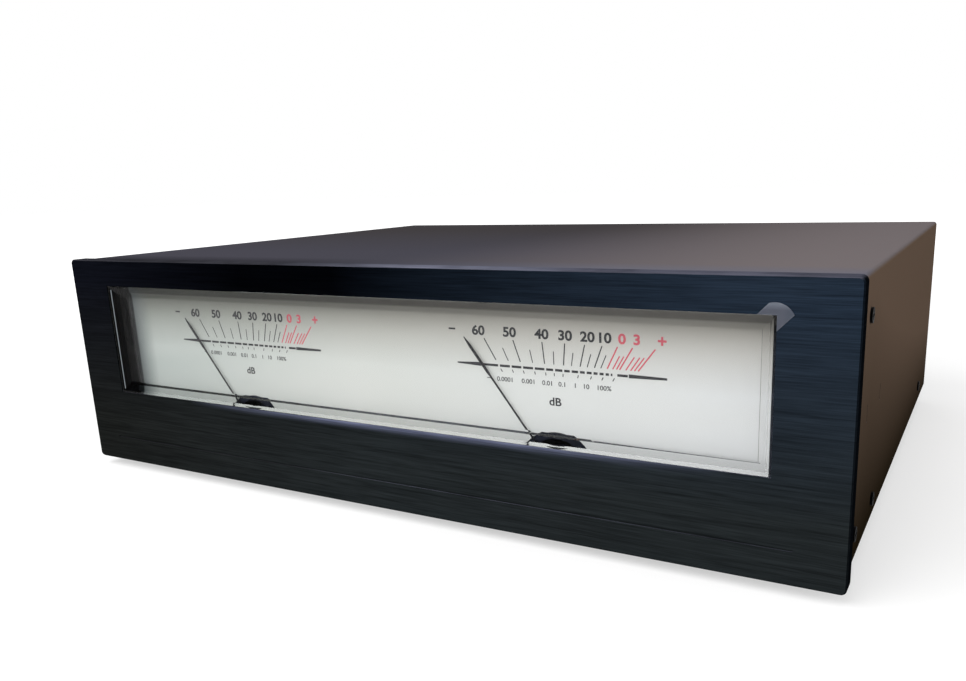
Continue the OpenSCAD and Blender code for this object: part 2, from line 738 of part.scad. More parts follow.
module pointer(side) color(black) swung(side) {
    difference() {
        union() {
            slab(hub_d, plate_d) circle(2.2);
            slab(hub_d, plate_d) translate([-arm_w / 2, -tail_len]) square([arm_w, tail_len + crank_r]);
            slab(hub_d, plate_d) square([2 * side_arm, arm_w], center = true);
        }
        slab(hub_d - over, plate_d + over) circle(collet_r + snug);
    }
    side_slab(-arm_w / 2, arm_w / 2) polygon([
        [plate_d, crank_r], [hub_d, crank_r - 1], [needle_d - needle_t / 2, crank_out - 0.6],
        [needle_d - needle_t / 2, crank_out + 1], [needle_d + needle_t / 2, crank_out + 1],
        [needle_d + needle_t / 2, crank_out], [plate_d, crank_r + 0.7]
    ]);
    blade = needle_len - blade_len;
    slab(needle_d - needle_t / 2, needle_d + needle_t / 2) polygon([
        [-shaft_w / 2, crank_out], [shaft_w / 2, crank_out], [shaft_w / 2, blade],
        [blade_w / 2, blade + 2], [blade_w / 2, needle_len - tip_len], [0.1, needle_len],
        [-0.1, needle_len], [-blade_w / 2, needle_len - tip_len], [-blade_w / 2, blade + 2],
        [-shaft_w / 2, blade]
    ]);
}

// Rings that slide on the three balance arms
weight_r = 0.72;
weight_len = 1.6;
arm_at = [[90, side_arm], [-90, side_arm], [180, tail_len]];

module balance_weights(side) color(brass) swung(side) for (arm = arm_at)
    translate([0, hub_d + hub_t / 2, 0]) rotate([0, arm[0], 0]) translate([0, 0, arm[1] - 2])
        difference() {
            cylinder(r = weight_r, h = weight_len);
            translate([0, 0, weight_len / 2])
                cube([arm_w + 2 * snug, hub_t + 2 * snug, weight_len + 2 * over], center = true);
        }

// Electronics

board_hole_at = [for (x = [-1, 1], y = [board_front + 6, board_rear - 6]) [x * (board_w / 2 - 6), y]];

module driver_board() color(green) in_case() translate([0, 0, board_bottom])
    linear_extrude(board_t) difference() {
        translate([0, (board_front + board_rear) / 2]) rrect(board_w, board_d, 2);
        for (p = board_hole_at) translate(p) circle(board_screw_r + easy);
    }

module board_standoffs() color(brass) in_case() for (p = board_hole_at)
    translate([p[0], p[1], base_top]) linear_extrude(standoff_h) difference() {
        circle(3.4, $fn = 6);
        circle(board_screw_r + snug);
    }

module board_screws() color(bright) in_case() for (p = board_hole_at)
    translate([p[0], p[1], board_top]) rotate([90, 0, 0])
        screw_y(0, -board_t - 5, 1.8, m3_head_r, board_screw_r, back = -1);

// Electrolytic capacitor with a rolled groove near its base
module capacitor(x, y, r, h) translate([x, y, board_top]) rotate_extrude() polygon([
    [0, 0], [r, 0], [r, 1.2], [r - 0.4, 1.7], [r, 2.2], [r, h - 0.5], [r - 0.5, h], [0, h]
]);

module board_capacitors() color([0.12, 0.14, 0.30]) in_case() {
    for (i = [0:3]) capacitor(-40 + i * 14, board_front + 30, 4, 11.5);
    for (x = [-78, 60]) capacitor(x, board_front + 58, 8, 25);
}

module board_chips() color([0.07, 0.07, 0.08]) in_case() for (x = [-66, -44, 34, 56])
    translate([x, board_front + 14, board_top]) difference() {
        translate([-4.8, -3.2, 0]) cube([9.6, 6.4, 3.4]);
        translate([-4.8, 0, 2.6]) cylinder(r = 1, h = 2);
    }

// Pin headers for the two ribbons, and a screw terminal for the supply
module board_headers() color([0.90, 0.90, 0.86]) in_case() {
    for (x = [-1, 1]) translate([x * meter_x, board_front + 3, board_top]) difference() {
        translate([-ribbon_w / 2 - 1.5, 0, 0]) cube([ribbon_w + 3, 6, 6.5]);
        translate([-ribbon_w / 2 - 0.5, 1.2, 4]) cube([ribbon_w + 1, 3.6, 4]);
    }
    translate([-100, board_rear - 22, board_top]) difference() {
        cube([10.2, 8, 10]);
        for (i = [0, 1]) translate([2.6 + i * 5, 4, 7]) cylinder(r = 1.8, h = 5);
    }
}

// Outline of a strip that follows square turns, in depth and height
module strip_path(points, t) {
    for (i = [0:len(points) - 2]) {
        a = points[i];
        b = points[i + 1];
        flat = a[1] == b[1];
        translate((a + b) / 2)
            square([abs(a[0] - b[0]) + (flat ? 0 : t), abs(a[1] - b[1]) + (flat ? t : 0)], center = true);
    }
    for (i = [1:len(points) - 2]) translate(points[i]) circle(t / 2);
}

// Flat leads from each movement, along the base, to its header on the board
ribbon_h = pivot_h - 12.5;
ribbon_floor = base_top + ribbon_t / 2 + 0.1;
ribbon_in = board_top + 3;

module meter_ribbons() color([0.55, 0.55, 0.58]) in_case() for (side = [-1, 1])
    side_slab(side * meter_x - ribbon_w / 2, side * meter_x + ribbon_w / 2) strip_path([
        [housing_back, ribbon_h], [housing_back + 7, ribbon_h], [housing_back + 7, ribbon_floor],
        [board_front - 5, ribbon_floor], [board_front - 5, ribbon_in], [board_front + 3, ribbon_in]
    ], ribbon_t);

// Rear sockets

socket_at = [
    for (x = [-0.5, 0.5], z = [-0.5, 0.5]) [socket_x + x * socket_pitch, socket_h + z * socket_pitch]
];
socket_thread_r = socket_r + 0.5;
socket_flange_t = 2.5;
shell_in = rear_in - 6;                  // depth of the shells' inner ends
shell_t = 0.8;
washer_t = 1;
washer_r = 7.2;
nut_hex_r = 6.9;

module rca_shells() color(brass) in_case() for (p = socket_at) translate([p[0], 0, p[1]]) difference() {
    union() {
        slab(shell_in, case_d + socket_len) circle(socket_r);
        slab(rear_in - socket_flange_t, case_d + washer_t + nut_t) circle(socket_thread_r);
        slab(rear_in - socket_flange_t, rear_in) circle(washer_r - 1.2);
    }
    slab(shell_in - over, case_d + socket_len + over) circle(socket_r - shell_t);
}

module rca_nuts() color(brass) in_case() for (p = socket_at) translate([p[0], 0, p[1]])
    slab(case_d + washer_t, case_d + washer_t + nut_t) difference() {
        circle(nut_hex_r, $fn = 6);
        circle(socket_thread_r + snug);
    }

// Coloured washer outside and plug-in insulator inside each shell
module rca_insulators() color([0.75, 0.10, 0.10]) in_case() for (p = socket_at) translate([p[0], 0, p[1]]) {
    slab(case_d, case_d + washer_t) difference() {
        circle(washer_r);
        circle(socket_thread_r + snug);
    }
    slab(shell_in - over, case_d + socket_len - 1.5) difference() {
        circle(socket_r - shell_t - snug);
        circle(1.65);
    }
}

jack_r = 5.5;
jack_out = 3.2;                          // how far it stands out of the rear panel
jack_floor = rear_in - 7;

module dc_jack() color(black) in_case() translate([jack_x, 0, jack_h]) {
    difference() {
        union() {
            slab(rear_in - 11, rear_in) square([14, 12], center = true);
            slab(rear_in, case_d + jack_out) circle(jack_r);
        }
        slab(jack_floor, case_d + jack_out + over) circle(2.8);
    }
    slab(jack_floor, case_d + 1.8) circle(1.05);
    slab(case_d, case_d + nut_t) difference() {
        circle(7.6, $fn = 6);
        circle(jack_r + snug);
    }
}

// Power switch: paddle on a cross pin in a snap-in housing
rocker_out_w = 13.6;
rocker_out_h = 20.8;
rocker_in_w = 10.9;
rocker_in_h = 18.8;
rocker_d = case_d - 3.6;                 // depth of the cross pin
rocker_pin_r = 1.5;
bezel_t = 1.5;
paddle_w = 10.3;

module rocker_housing() color(black) in_case() translate([rocker_x, 0, rocker_h]) difference() {
    union() {
        slab(case_d - 14, case_d) square([rocker_out_w, rocker_out_h], center = true);
        slab(case_d, case_d + bezel_t) rrect(rocker_out_w + 2.6, rocker_out_h + 2.4, 1.2);
    }
    slab(case_d - 12, case_d + bezel_t + over) square([rocker_in_w, rocker_in_h], center = true);
    side_slab(-rocker_in_w / 2 - 0.9, rocker_in_w / 2 + 0.9)
        translate([rocker_d, 0]) circle(rocker_pin_r + running);
}

module power_rocker() color([0.12, 0.12, 0.12]) in_case()
    translate([rocker_x, rocker_d, rocker_h]) rotate([-rocker_travel / 2, 0, 0]) {
        side_slab(-paddle_w / 2, paddle_w / 2) polygon([
            [4.6, 0], [6.8, 8.2], [1.5, 8.4], [-3, 2.4], [-3, -2.4], [1.5, -8.4], [6.8, -8.2]
        ]);
        side_slab(-rocker_in_w / 2 - 0.6, rocker_in_w / 2 + 0.6) circle(rocker_pin_r);
    }

// Level controls
pot_back = rear_in - 10;
bush_len = 5;
shaft_in = pot_back + 2.5;

// Puts the children on the axis of the left (0) or right (1) level control
module at_knob(i) in_case() translate([knob_x + i * knob_pitch, 0, knob_h]) children();

module level_pots() color(bright) for (i = [0, 1]) at_knob(i) {
    difference() {
        union() {
            slab(pot_back, rear_in) circle(8.2);
            slab(rear_in, case_d + bush_len) circle(bush_r);
        }
        slab(shaft_in - 0.3, case_d + bush_len + over) circle(shaft_r + running);
    }
    slab(case_d, case_d + nut_t) difference() {
        circle(5.8, $fn = 6);
        circle(bush_r + snug);
    }
}

module level_shaft(i) color(bright) at_knob(i)
    slab(shaft_in, case_d + rear_reach - 2) circle(shaft_r);

// Fluted knob, hollow behind so that it clears the nut
module level_knob(i) color(black) at_knob(i) difference() {
    union() {
        slab(case_d + knob_gap, case_d + rear_reach - 1) circle(knob_r);
        slab(case_d + rear_reach - 1, case_d + rear_reach) circle(knob_r - 1);
    }
    slab(case_d + knob_gap - over, case_d + bush_len + 0.5) circle(knob_r - 1.5);
    slab(case_d + knob_gap, case_d + rear_reach - 2) circle(shaft_r + snug);
    for (a = [0:20:340]) rotate([0, a, 0]) translate([0, 0, knob_r + 0.25])
        slab(case_d + knob_gap + 2.5, case_d + rear_reach + over) circle(0.7);
    slab(case_d + rear_reach - 0.4, case_d + rear_reach + over) translate([-0.5, 2]) square([1, knob_r]);
}

front_panel();
window_lens();
film_tab();
window_frame();
dial_plate();
meter_tray();
frame_screws();
panel_brackets();
panel_screws();
top_cover();
base_tray();
rear_panel();
side_screws();
rear_screws();
feet();
foot_pads();
foot_screws();
backlight_board();
backlight_leds();
housing(-1);  // left_housing
yoke_ring(-1);  // left_yoke_ring
core_magnet(-1);  // left_core_magnet
front_bridge(-1);  // left_front_bridge
hairsprings(-1);  // left_hairsprings
coil_former(-1);  // left_coil_former
coil_winding(-1);  // left_coil_winding
coil_pivots(-1);  // left_coil_pivots
pointer(-1);  // left_pointer
balance_weights(-1);  // left_balance_weights
housing(1);  // right_housing
yoke_ring(1);  // right_yoke_ring
core_magnet(1);  // right_core_magnet
front_bridge(1);  // right_front_bridge
hairsprings(1);  // right_hairsprings
coil_former(1);  // right_coil_former
coil_winding(1);  // right_coil_winding
coil_pivots(1);  // right_coil_pivots
pointer(1);  // right_pointer
balance_weights(1);  // right_balance_weights
jewel_screws();
bridge_screws();
movement_screws();
driver_board();
board_standoffs();
board_screws();
board_capacitors();
board_chips();
board_headers();
meter_ribbons();
rca_shells();
rca_nuts();
rca_insulators();
dc_jack();
rocker_housing();
power_rocker();
level_pots();
level_shaft(0);  // left_level_shaft
level_shaft(1);  // right_level_shaft
level_knob(0);  // left_level_knob
level_knob(1);  // right_level_knob
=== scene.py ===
"""Twin-needle level meter: materials, printed scales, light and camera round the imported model.

The frame is the CAD's: Z up, panel facing -Y, origin on the table. Lengths are in metres, or in
millimetres where the name ends in _mm.
"""

import math

import bmesh
import bpy
from mathutils import Matrix, Vector

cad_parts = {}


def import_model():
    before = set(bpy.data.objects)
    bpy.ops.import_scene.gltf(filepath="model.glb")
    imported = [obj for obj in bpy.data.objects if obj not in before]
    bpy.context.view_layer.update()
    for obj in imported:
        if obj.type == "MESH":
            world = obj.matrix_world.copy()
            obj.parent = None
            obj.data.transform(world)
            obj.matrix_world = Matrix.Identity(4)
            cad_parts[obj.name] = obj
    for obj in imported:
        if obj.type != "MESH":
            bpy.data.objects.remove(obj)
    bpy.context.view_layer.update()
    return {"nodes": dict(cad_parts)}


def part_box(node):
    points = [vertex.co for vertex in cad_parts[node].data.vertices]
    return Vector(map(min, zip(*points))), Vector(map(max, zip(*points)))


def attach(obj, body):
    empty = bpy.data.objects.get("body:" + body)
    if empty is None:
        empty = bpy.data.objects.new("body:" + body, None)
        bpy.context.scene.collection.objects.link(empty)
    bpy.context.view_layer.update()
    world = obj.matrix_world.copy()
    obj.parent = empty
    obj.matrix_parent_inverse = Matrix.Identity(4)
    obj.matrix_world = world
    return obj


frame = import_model()
nodes = frame["nodes"]
MM = 0.001

# Sizes and places in the model that materials and printing go by, heights above the panel's foot
panel_lift_mm = 5                      # from the table to the panel's foot
meter_x_mm = 91
pivot_h_mm = 27.5
knob_x_mm, knob_pitch_mm, knob_h_mm = 70, 30, 60
socket_x_mm = 140
jack_x_mm, jack_h_mm = -130, 42
rocker_x_mm, rocker_h_mm = -172, 62
led_pitch_mm, led_h_mm = 336 / 13, 72.9
window_x_mm = 186                      # half of the opening's width
window_low_mm, window_high_mm = 42.2, 103.6

# Slope of the window's border: its two edges, in from the opening, and their depths
slope_out_mm, slope_in_mm = 1.0, 6.2
slope_top_mm, slope_foot_mm = 0.3, 2.8


# Materials


def grey(v):
    """Linear grey."""
    return (v, v, v, 1)


def rgb(r, g, b):
    """Linear colour from 8-bit sRGB numbers."""

    def linear(v):
        v /= 255
        return v / 12.92 if v <= 0.04045 else ((v + 0.055) / 1.055) ** 2.4

    return (linear(r), linear(g), linear(b), 1)


class Nodes:
    """Short calls that make and join the nodes of one tree."""

    def __init__(self, tree):
        self.tree = tree

    def put(self, socket, value):
        """Links an output to the socket, or sets a plain value on it."""
        if isinstance(value, bpy.types.NodeSocket):
            self.tree.links.new(value, socket)
        else:
            socket.default_value = value

    def add(self, kind, inputs=(), **settings):
        """New node, with its inputs in order or by name. An input of None is left as it is."""
        node = self.tree.nodes.new("ShaderNode" + kind)
        for key, value in settings.items():
            setattr(node, key, value)
        pairs = inputs.items() if isinstance(inputs, dict) else enumerate(inputs)
        for key, value in pairs:
            if value is not None:
                self.put(node.inputs[key], value)
        return node

    def math(self, operation, a, b=None):
        return self.add("Math", [a, b], operation=operation).outputs[0]

    def spread(self, value, low, high, to_low=0.0, to_high=1.0, ease="LINEAR"):
        """Maps low..high to to_low..to_high, and holds the ends."""
        limits = [value, low, high, to_low, to_high]
        return self.add("MapRange", limits, interpolation_type=ease).outputs[0]

    def seen_ray(self, *others):
        """1 for rays of the camera and of the other kinds named, and 0 for the rest."""
        path = self.add("LightPath")
        seen = path.outputs["Is Camera Ray"]
        for kind in others:
            seen = self.math("MAXIMUM", seen, path.outputs[kind])
        return seen


class Look(Nodes):
    """A Principled material, in one colour and roughness until nodes feed them."""

    def __init__(self, name, colour, rough=0.5, metal=0.0, **more):
        self.mat = bpy.data.materials.new(name)
        self.mat.use_nodes = True
        super().__init__(self.mat.node_tree)
        self.shader = self.tree.nodes["Principled BSDF"]
        self.surface = self.tree.nodes["Material Output"].inputs["Surface"]
        self.normal = None
        self.colour(colour)
        self.rough(rough)
        self.feed("Metallic", metal)
        for socket, value in more.items():
            self.feed(socket.replace("_", " "), value)

    def feed(self, socket, value):
        self.put(self.shader.inputs[socket], value)

    def colour(self, value):
        self.feed("Base Color", value)

    def rough(self, value):
        self.feed("Roughness", value)

    def rough_from(self, texture, least, most, low=0.3, high=0.7):
        """Roughness that goes from least to most where the texture goes from low to high."""
        self.rough(self.spread(texture, low, high, least, most))

    def where(self):
        """Place on the object, which is also the place in the CAD's frame at rest."""
        return self.add("TexCoord").outputs["Object"]

    def axis(self, letter):
        return self.add("SeparateXYZ", [self.where()]).outputs[letter]

    def along(self, letter, start_mm, end_mm, least=0.0, most=1.0, ease="LINEAR"):
        """Goes from least to most between two places on an axis of the CAD's frame."""
        return self.spread(self.axis(letter), start_mm * MM, end_mm * MM, least, most, ease)

    def facing(self, letter):
        """How far the surface faces along an axis of the world, from -1 to 1."""
        return self.add("SeparateXYZ", [self.add("NewGeometry").outputs["Normal"]]).outputs[letter]

    def sized(self, size_mm):
        """Coordinates in which one unit is that size, which may differ from axis to axis."""
        sizes = [size_mm] * 3 if isinstance(size_mm, (int, float)) else size_mm
        scale = [1 / (size * MM) for size in sizes]
        return self.add("Mapping", {"Vector": self.where(), "Scale": scale}).outputs[0]

    def noise(self, size_mm, detail=2.0, roughness=0.5):
        inputs = {"Vector": self.sized(size_mm), "Scale": 1, "Detail": detail, "Roughness": roughness}
        return self.add("TexNoise", inputs).outputs["Fac"]

    def mix(self, share, a, b):
        """Colour a where the share is 0, and b where it is 1."""
        node = self.add("Mix", data_type="RGBA")
        for socket, value in (("Factor_Float", share), ("A_Color", a), ("B_Color", b)):
            self.put(next(s for s in node.inputs if s.identifier == socket), value)
        return next(s for s in node.outputs if s.identifier == "Result_Color")

    def fade(self, letter, start_mm, end_mm, a, b):
        """Goes from colour a to colour b between two places on an axis."""
        return self.mix(self.along(letter, start_mm, end_mm), a, b)

    def bump(self, height, depth_mm):
        """Raises the surface by the depth where height is 1. A second call adds to the first."""
        inputs = {"Distance": depth_mm * MM, "Height": height, "Normal": self.normal}
        self.normal = self.add("Bump", inputs).outputs[0]
        self.feed("Normal", self.normal)

    def edge_wear_and_sheen(self, base, edge_tone, width_mm=0.6, most=0.5):
        """Base colour, going over to the edge tone in patches where an edge of that width turns: wear on
        most parts, a painted highlight on the film's cut edge.
        """
        bevel = self.add("Bevel", {"Radius": width_mm * MM}).outputs[0]
        normal = self.add("NewGeometry").outputs["Normal"]
        turn = self.add("VectorMath", [bevel, normal], operation="DOT_PRODUCT").outputs["Value"]
        level, sharp = 0.995, 0.8      # cosines of the turn where wear starts and is at its most
        edge = self.spread(turn, level, sharp, 0.0, most)
        patches = self.spread(self.noise(4), 0.4, 0.62)
        self.colour(self.mix(self.math("MULTIPLY", edge, patches), base, edge_tone))


def panel_front_painted_reflection(k):
    """Painted reflection on the panel's front: grey below, and from nearly black to bluish above."""
    foot = k.fade("X", -200, 0, rgb(33, 35, 34), rgb(41, 46, 48))
    left = k.fade("X", -200, -80, rgb(18, 20, 28), rgb(3, 4, 7))
    head = k.fade("X", -20, 190, left, rgb(40, 52, 67))
    return k.fade("Z", 30, 112, foot, head)


def painted_window_highlight(k):
    """Share of a painted highlight of the window's light on the plate just under it, most near the
    middle.
    """
    edge_mm = panel_lift_mm + window_low_mm
    reach_mm, centre_mm = 3.8, 20
    full_mm, none_mm = 50, 150         # to each side of the centre
    close = k.along("Z", edge_mm - reach_mm, edge_mm)
    aside = k.math("ABSOLUTE", k.math("ADD", k.axis("X"), -centre_mm * MM))
    middle = k.spread(aside, none_mm * MM, full_mm * MM)
    below = k.math("LESS_THAN", k.axis("Z"), (edge_mm + 0.1) * MM)
    return k.math("MULTIPLY", k.math("MULTIPLY", close, close), k.math("MULTIPLY", middle, below))


def brushed_black():
    """Black anodised plate, brushed along X, with painted light: a painted reflection on its front, a
    painted highlight under the window and along its paler upper edge, and a dark right end.
    """
    k = Look("panel_black", rgb(16, 18, 21), 0.4, Specular_IOR_Level=0.0)
    fine = k.noise((16, 50, 0.35), 2)
    streak = k.noise((40, 50, 1.2), 3, 0.6)
    # painted highlight of the window's light just under the window, over the front's painted reflection
    front = k.mix(painted_window_highlight(k), panel_front_painted_reflection(k), rgb(126, 132, 162))
    # painted highlight on the upper faces and chamfer, palest in the middle
    upper_highlight = k.fade("X", -60, 30, rgb(54, 54, 60), rgb(106, 108, 124))
    upper_highlight = k.fade("X", 30, 120, upper_highlight, rgb(80, 81, 94))
    face = k.mix(k.spread(k.facing("Z"), 0.4, 0.65), front, upper_highlight)
    # the right end stays dark, without the painted light of the front
    face = k.mix(k.spread(k.facing("X"), 0.3, 0.8), face, rgb(12, 15, 19))
    brushed = k.math("ADD", k.math("MULTIPLY", streak, 0.55), k.math("MULTIPLY", fine, 0.45))
    k.colour(k.mix(k.spread(brushed, 0.36, 0.66, 0.0, 0.55), face, grey(0)))
    k.rough_from(streak, 0.32, 0.48, 0.35, 0.65)
    k.bump(fine, 0.01)
    k.bump(streak, 0.012)
    return k.mat


def cover_side_painted_reflection(k):
    """Cover's sides with painted light: a painted brown reflection, darker downwards, but less so
    towards the rear.
    """
    height = k.math("MULTIPLY", k.axis("Z"), k.along("Y", -130, 140, 1.0, 2.1))
    return k.mix(k.spread(height, 15 * MM, 115 * MM), rgb(36, 29, 19), rgb(106, 89, 76))


def cover_top_painted_reflection(k):
    """Painted reflection on the cover's top: paler to the right, with a dark to bluish strip at the
    panel.
    """
    left = k.fade("Y", -100, 80, rgb(65, 64, 72), rgb(61, 58, 60))
    top = k.mix(k.along("X", -30, 210, ease="SMOOTHSTEP"), left, rgb(106, 99, 100))
    edge = k.fade("X", -60, 110, rgb(30, 30, 34), rgb(94, 96, 110))
    return k.mix(k.along("Y", -166, -135, 0.8, 0.0), top, edge)


def cover_paint():
    """Satin powder coat with its fine orange peel, and painted reflections that make the sides warmer
    than the top.
    """
    k = Look("cover_paint", rgb(80, 75, 78), 0.5, Specular_IOR_Level=0.0)
    base = k.mix(k.spread(k.facing("Z"), 0.2, 0.8), cover_side_painted_reflection(k), cover_top_painted_reflection(k))
    k.edge_wear_and_sheen(base, rgb(122, 114, 110), 0.5, 0.3)
    k.rough_from(k.noise(1.6), 0.42, 0.54)
    k.bump(k.noise(0.7, 1), 0.02)
    return k.mat


def through_light(k):
    """Lets lamps and soft light through a material, which the eye and mirrors still see."""
    path = k.add("LightPath")
    either = k.math("MAXIMUM", path.outputs["Is Shadow Ray"], path.outputs["Is Diffuse Ray"])
    clear = k.add("BsdfTransparent").outputs[0]
    k.put(k.surface, k.add("MixShader", [either, k.shader.outputs[0], clear]).outputs[0])


def clear_window():
    """Clear moulded plastic, tinted with painted shade where its border shows dark: left, right and
    above.
    """
    clear = grey(0.99)
    k = Look("clear_window", clear, 0.02, Transmission_Weight=1.0, IOR=1.2)
    inner_mm, outer_mm = window_x_mm - slope_in_mm, window_x_mm - slope_out_mm
    head_mm = panel_lift_mm + window_high_mm
    # painted shade of the dark wall seen through the left border
    painted_shade = k.fade("X", 0.3 - inner_mm, 1.8 - inner_mm, rgb(28, 32, 38), clear)
    # painted shadow of the gap at the right rim
    painted_shade = k.fade("X", outer_mm - 0.2, outer_mm, painted_shade, rgb(4, 5, 9))
    # painted shade along the top border
    k.colour(k.mix(k.along("Z", head_mm - 4, head_mm - 3, 0.0, 0.45), painted_shade, rgb(90, 88, 94)))
    k.bump(k.noise(60, 1), 0.04)
    k.rough_from(k.noise((2, 2, 30), 2), 0.015, 0.06, 0.5, 0.8)
    through_light(k)
    return k.mat


def film():
    """Milky pull tab of a protective film, lighter at its upper end, with a painted highlight along its
    cut edge.
    """
    k = Look("film", rgb(108, 110, 119), 0.3, Alpha=0.8)
    cloud = k.noise(8, 1)
    base = k.mix(cloud, rgb(84, 88, 101), rgb(96, 100, 113))
    base = k.fade("X", 188, 194, base, rgb(76, 86, 100))
    base = k.fade("Z", 110.5, 112.5, base, rgb(118, 125, 138))
    # painted highlight along the cut edge
    k.edge_wear_and_sheen(base, rgb(150, 154, 164), 0.8, 0.9)
    k.rough_from(cloud, 0.25, 0.45)
    k.bump(k.noise((4, 10, 20), 1), 0.04)
    return k.mat


def frame_black():
    """Dark painted frame behind the window, finely grained."""
    k = Look("frame_black", rgb(34, 38, 46), 0.5)
    grain = k.noise(0.5, 1)
    k.colour(k.mix(k.noise(20), rgb(27, 30, 37), rgb(45, 51, 62)))
    k.rough_from(grain, 0.4, 0.6)
    k.bump(grain, 0.03)
    return k.mat


def dial_painted_shade(k):
    """White with painted light and shade: greyer to its left end with a painted shadow at that edge, and
    painted shade along its top edge.
    """
    # painted light: greyer to the left, brighter to the right
    left = k.fade("X", -200, -20, rgb(165, 177, 173), rgb(220, 224, 219))
    plain = k.fade("X", 0, 180, left, rgb(233, 236, 237))
    cast = k.spread(k.noise((120, 120, 30), 2), 0.3, 0.7)
    plain = k.mix(k.math("MULTIPLY", cast, 0.3), plain, rgb(226, 227, 222))
    # painted shade along the top edge, under the panel
    top = k.fade("X", -150, 100, rgb(134, 137, 128), rgb(192, 189, 180))
    face = k.fade("Z", 74, 101, plain, top)
    # painted shadow of the border at the very top
    face = k.mix(k.along("Z", 100, 106, 0.0, 0.25), face, rgb(70, 69, 66))
    # painted shadow of the window's left wall, darkest at the edge
    face = k.fade("X", -179.5, -166, rgb(120, 128, 128), face)
    return k.fade("X", -180.8, -179.8, rgb(24, 30, 32), face)


def dial_face():
    """Screen-printed white plate."""
    k = Look("dial_face", rgb(216, 219, 214), 0.55)
    k.colour(dial_painted_shade(k))
    k.rough_from(k.noise(0.9), 0.48, 0.62)
    k.bump(k.noise(0.6, 1), 0.008)
    return k.mat


def moulded(name, dark, light, rough=0.5, grain_mm=0.5, depth_mm=0.02, wear=None):
    """Moulded plastic: two close shades in clouds, and a fine spark-eroded grain."""
    k = Look(name, dark, rough)
    shade = k.mix(k.spread(k.noise(12, 2), 0.35, 0.65), dark, light)
    if wear:
        k.edge_wear_and_sheen(shade, wear)
    else:
        k.colour(shade)
    texture = k.noise(grain_mm, 1)
    k.rough_from(texture, rough - 0.07, rough + 0.1)
    k.bump(texture, depth_mm)
    return k.mat


def metal(name, dark, light, rough):
    """Bright metal with fine machining streaks and a dulled patch here and there."""
    k = Look(name, light, rough, 1.0)
    line = k.noise((0.6, 0.6, 8), 2)
    dull = k.noise(7, 2)
    k.colour(k.mix(k.spread(dull, 0.35, 0.7), light, dark))
    fine = k.spread(line, 0.3, 0.7, rough - 0.08, rough + 0.08)
    k.rough(k.math("ADD", fine, k.spread(dull, 0.4, 0.7, 0.0, 0.12)))
    k.bump(line, 0.008)
    return k.mat


def winding_copper():
    """Enamelled wire: turns lie side by side across the coil's width."""
    k = Look("winding_copper", rgb(176, 92, 52), 0.3, 0.9)
    inputs = {"Vector": k.sized(0.4), "Scale": 1}
    turn = k.add("TexWave", inputs, wave_type="BANDS", bands_direction="DIAGONAL").outputs["Fac"]
    # darker between the turns: painted shade
    k.colour(k.mix(turn, rgb(112, 52, 28), rgb(198, 112, 66)))
    k.rough_from(k.noise(0.8), 0.22, 0.4)
    k.bump(turn, 0.06)
    return k.mat


def circuit_board():
    """Green mask over copper tracks, which run square to each other."""
    k = Look("circuit_board", rgb(20, 82, 48), 0.3)
    inputs = {"Vector": k.sized(20), "Scale": 1, "Mortar Size": 0.035, "Mortar Smooth": 0.1}
    tracks = k.add("TexBrick", inputs).outputs["Fac"]
    mask = k.mix(k.noise(30), rgb(14, 66, 40), rgb(24, 84, 50))
    k.colour(k.mix(tracks, mask, rgb(44, 122, 74)))
    k.rough_from(k.noise(2), 0.24, 0.4)
    k.bump(tracks, 0.04)
    return k.mat


def led_body():
    """White package round a yellow phosphor, repeated along the strip."""
    k = Look("led", rgb(236, 234, 224), 0.4)
    across = k.math("PINGPONG", k.axis("X"), led_pitch_mm / 2 * MM)
    up = k.math("SUBTRACT", k.axis("Z"), (panel_lift_mm + led_h_mm) * MM)
    squares = k.math("ADD", k.math("MULTIPLY", across, across), k.math("MULTIPLY", up, up))
    package = k.spread(k.math("SQRT", squares), 1.7 * MM, 1.9 * MM)
    k.colour(k.mix(package, rgb(226, 196, 66), rgb(238, 237, 230)))
    k.rough_from(k.noise(1), 0.3, 0.5)
    k.bump(k.noise(0.8), 0.02)
    return k.mat


def can_sleeve():
    """Printed sleeve with a bare aluminium top."""
    k = Look("can_sleeve", rgb(24, 30, 66), 0.35)
    top = k.spread(k.facing("Z"), 0.8, 0.9)
    sleeve = k.mix(k.noise(4), rgb(20, 25, 58), rgb(32, 40, 84))
    k.colour(k.mix(top, sleeve, rgb(196, 198, 200)))
    k.feed("Metallic", top)
    k.rough_from(k.noise(2), 0.28, 0.45)
    k.bump(k.noise((2, 2, 20)), 0.03)
    return k.mat


def ribbon_grey():
    """Flat lead: six wires side by side across X."""
    k = Look("ribbon_grey", rgb(150, 151, 156), 0.45)
    wire_r = 0.5 * MM
    wire = k.math("PINGPONG", k.math("ADD", k.axis("X"), 0.4 * MM), wire_r)
    ridge = k.spread(wire, 0.0, wire_r)
    # darker in the grooves between the wires: painted shade
    k.colour(k.mix(ridge, rgb(112, 112, 118), rgb(164, 165, 170)))
    k.rough_from(k.noise(3), 0.38, 0.55)
    k.bump(ridge, 0.25)
    return k.mat


def socket_insulator():
    """White washers for the left pair and red for the right, as signal sockets have."""
    k = Look("socket_insulator", rgb(200, 40, 36), 0.4)
    tone = k.noise(3)
    white = k.mix(tone, rgb(224, 222, 214), rgb(236, 235, 230))
    red = k.mix(tone, rgb(164, 26, 24), rgb(190, 38, 34))
    k.colour(k.mix(k.math("GREATER_THAN", k.axis("X"), socket_x_mm * MM), white, red))
    k.rough_from(k.noise(0.8), 0.32, 0.5)
    k.bump(k.noise(0.6), 0.02)
    return k.mat


